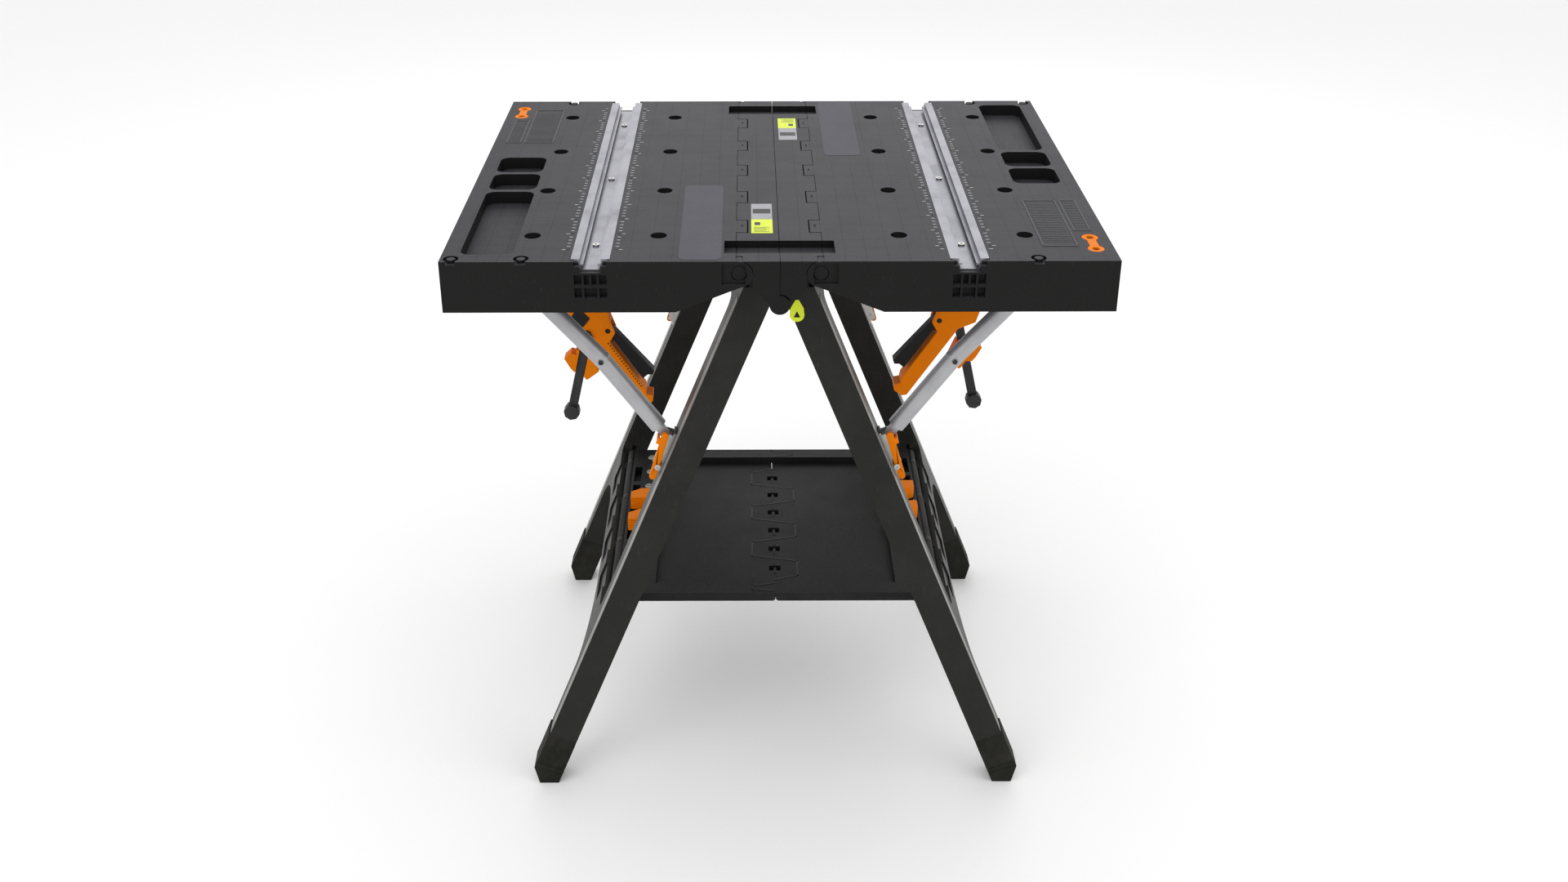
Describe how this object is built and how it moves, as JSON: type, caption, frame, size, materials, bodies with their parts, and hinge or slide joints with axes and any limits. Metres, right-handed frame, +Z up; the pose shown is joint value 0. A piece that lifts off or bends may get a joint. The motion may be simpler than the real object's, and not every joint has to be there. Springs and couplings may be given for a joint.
{
  "type": "folding work table",
  "caption": "Folding sawhorse work table: two flaps with dog holes and tracks on an A-frame with a folding shelf, locking struts and stored clamps.",
  "frame": {"origin": "on the floor under the middle of the table", "axes": "+X across the table to the right, +Y from front to back, +Z up"},
  "size_m": [0.787, 0.635, 0.813],
  "materials": {
    "moulding": "moulded, fine texture",
    "orange_plastic": "satin",
    "track_metal": "satin extrusion",
    "steel": "satin",
    "strut_metal": "satin silver",
    "foot_rubber": "matte",
    "black_plastic": "satin"
  },
  "bodies": {
    "left_frame": {"left_spine": "moulding", "left_leg_frame": "moulding", "left_front_foot": "foot_rubber", "left_back_foot": "foot_rubber", "left_apex_pin": "steel", "left_hinge_rod": "steel", "left_latch_brackets": "steel", "left_latch_pins": "steel", "left_latch_springs": "steel", "left_shelf_rod": "steel"},
    "left_wing": {"left_wing": "moulding", "left_track": "track_metal", "left_track_screws": "steel", "left_strut_brackets": "steel", "left_clamp_hanger": "black_plastic"},
    "left_struts": {"left_front_strut": "strut_metal", "left_back_strut": "strut_metal", "left_strut_rod": "steel"},
    "left_clamp": {"left_clamp_body": "orange_plastic"},
    "left_clamp_trigger": {"left_clamp_trigger": "black_plastic"},
    "left_clamp_bar": {"left_clamp_bar": "steel", "left_clamp_jaw": "orange_plastic"},
    "left_link_key": {"left_link_key": "orange_plastic"},
    "left_shelf": {"left_shelf": "moulding", "shelf_middle_pin": "steel"},
    "left_front_lever": {"left_front_lever": "orange_plastic"},
    "left_front_dog": {"left_front_dog": "orange_plastic"},
    "left_back_lever": {"left_back_lever": "orange_plastic"},
    "left_back_dog": {"left_back_dog": "orange_plastic"},
    "right_frame": {"right_spine": "moulding", "right_leg_frame": "moulding", "right_front_foot": "foot_rubber", "right_back_foot": "foot_rubber", "right_apex_pin": "steel", "right_hinge_rod": "steel", "right_latch_brackets": "steel", "right_latch_pins": "steel", "right_latch_springs": "steel", "right_shelf_rod": "steel"},
    "right_wing": {"right_wing": "moulding", "right_track": "track_metal", "right_track_screws": "steel", "right_strut_brackets": "steel", "right_clamp_hanger": "black_plastic"},
    "right_struts": {"right_front_strut": "strut_metal", "right_back_strut": "strut_metal", "right_strut_rod": "steel"},
    "right_clamp": {"right_clamp_body": "orange_plastic"},
    "right_clamp_trigger": {"right_clamp_trigger": "black_plastic"},
    "right_clamp_bar": {"right_clamp_bar": "steel", "right_clamp_jaw": "orange_plastic"},
    "right_link_key": {"right_link_key": "orange_plastic"},
    "right_shelf": {"right_shelf": "moulding"},
    "right_front_lever": {"right_front_lever": "orange_plastic"},
    "right_front_dog": {"right_front_dog": "orange_plastic"},
    "right_back_lever": {"right_back_lever": "orange_plastic"},
    "right_back_dog": {"right_back_dog": "orange_plastic"}
  },
  "joints": [
    {"name": "shelf_fold", "type": "hinge", "parent": "left_frame", "child": "left_shelf", "pos_m": [-0.22201, 0, 0.264], "axis": [0, -1, 0], "range_deg": [0, 63.1]},
    {"name": "shelf_middle", "type": "hinge", "parent": "left_shelf", "child": "right_shelf", "pos_m": [0, 0, 0.258], "axis": [0, 1, 0], "range_deg": [0, 168.9]},
    {"name": "frame_fold", "type": "hinge", "parent": "right_shelf", "child": "right_frame", "pos_m": [0.22201, 0, 0.264], "axis": [0, -1, 0], "range_deg": [0, 63.2]},
    {"name": "left_wing_fold", "type": "hinge", "parent": "left_frame", "child": "left_wing", "pos_m": [-0.0475, 0, 0.7964], "axis": [0, -1, 0], "range_deg": [0, 60]},
    {"name": "left_strut_swing", "type": "hinge", "parent": "left_wing", "child": "left_struts", "pos_m": [-0.33, 0, 0.771], "axis": [0, 1, 0], "range_deg": [0, 120.1]},
    {"name": "left_clamp_lift", "type": "slide", "parent": "left_wing", "child": "left_clamp", "axis": [-0.6, 0, -0.8], "range_m": [0, 0.3]},
    {"name": "left_bar_slide", "type": "slide", "parent": "left_clamp", "child": "left_clamp_bar", "axis": [-0.225, 0, -0.9744], "range_m": [0, 0.04]},
    {"name": "left_trigger", "type": "hinge", "parent": "left_clamp", "child": "left_clamp_trigger", "pos_m": [-0.231, -0.016, 0.589], "axis": [0, 1, 0], "range_deg": [0, 2.8], "stiffness_Nm_per_rad": 2, "springref_deg": -5.73},
    {"name": "left_key_lift", "type": "slide", "parent": "left_wing", "child": "left_link_key", "axis": [0, 0, 1], "range_m": [0, 0.04]},
    {"name": "left_front_latch", "type": "hinge", "parent": "left_frame", "child": "left_front_lever", "pos_m": [-0.15315, -0.2418, 0.49838], "axis": [0, -1, 0], "range_deg": [0, 5], "stiffness_Nm_per_rad": 0.8, "springref_deg": -5.73},
    {"name": "left_back_latch", "type": "hinge", "parent": "left_frame", "child": "left_back_lever", "pos_m": [-0.15315, 0.2418, 0.49838], "axis": [0, -1, 0], "range_deg": [0, 5], "stiffness_Nm_per_rad": 0.8, "springref_deg": -5.73},
    {"name": "left_front_dog_lift", "type": "slide", "parent": "left_shelf", "child": "left_front_dog", "axis": [0, 0, 1], "range_m": [0, 0.06]},
    {"name": "left_back_dog_lift", "type": "slide", "parent": "left_shelf", "child": "left_back_dog", "axis": [0, 0, 1], "range_m": [0, 0.06]},
    {"name": "right_wing_fold", "type": "hinge", "parent": "right_frame", "child": "right_wing", "pos_m": [0.0475, 0, 0.7964], "axis": [0, 1, 0], "range_deg": [0, 60]},
    {"name": "right_strut_swing", "type": "hinge", "parent": "right_wing", "child": "right_struts", "pos_m": [0.33, 0, 0.771], "axis": [0, -1, 0], "range_deg": [0, 120.1]},
    {"name": "right_clamp_lift", "type": "slide", "parent": "right_wing", "child": "right_clamp", "axis": [0.6, 0, -0.8], "range_m": [0, 0.3]},
    {"name": "right_bar_slide", "type": "slide", "parent": "right_clamp", "child": "right_clamp_bar", "axis": [0.225, 0, -0.9744], "range_m": [0, 0.04]},
    {"name": "right_trigger", "type": "hinge", "parent": "right_clamp", "child": "right_clamp_trigger", "pos_m": [0.231, 0.016, 0.589], "axis": [0, -1, 0], "range_deg": [0, 2.8], "stiffness_Nm_per_rad": 2, "springref_deg": -5.73},
    {"name": "right_key_lift", "type": "slide", "parent": "right_wing", "child": "right_link_key", "axis": [0, 0, 1], "range_m": [0, 0.04]},
    {"name": "right_front_latch", "type": "hinge", "parent": "right_frame", "child": "right_front_lever", "pos_m": [0.15315, -0.2418, 0.49838], "axis": [0, 1, 0], "range_deg": [0, 5], "stiffness_Nm_per_rad": 0.8, "springref_deg": -5.73},
    {"name": "right_back_latch", "type": "hinge", "parent": "right_frame", "child": "right_back_lever", "pos_m": [0.15315, 0.2418, 0.49838], "axis": [0, 1, 0], "range_deg": [0, 5], "stiffness_Nm_per_rad": 0.8, "springref_deg": -5.73},
    {"name": "right_front_dog_lift", "type": "slide", "parent": "right_shelf", "child": "right_front_dog", "axis": [0, 0, 1], "range_m": [0, 0.06]},
    {"name": "right_back_dog_lift", "type": "slide", "parent": "right_shelf", "child": "right_back_dog", "axis": [0, 0, 1], "range_m": [0, 0.06]}
  ],
  "couplings": [
    {"joint": "shelf_middle", "follows": "shelf_fold", "ratio": 2.6751},
    {"joint": "frame_fold", "follows": "shelf_fold", "ratio": 1},
    {"joint": "left_strut_swing", "follows": "left_wing_fold", "ratio": 2},
    {"joint": "right_strut_swing", "follows": "right_wing_fold", "ratio": 2}
  ]
}
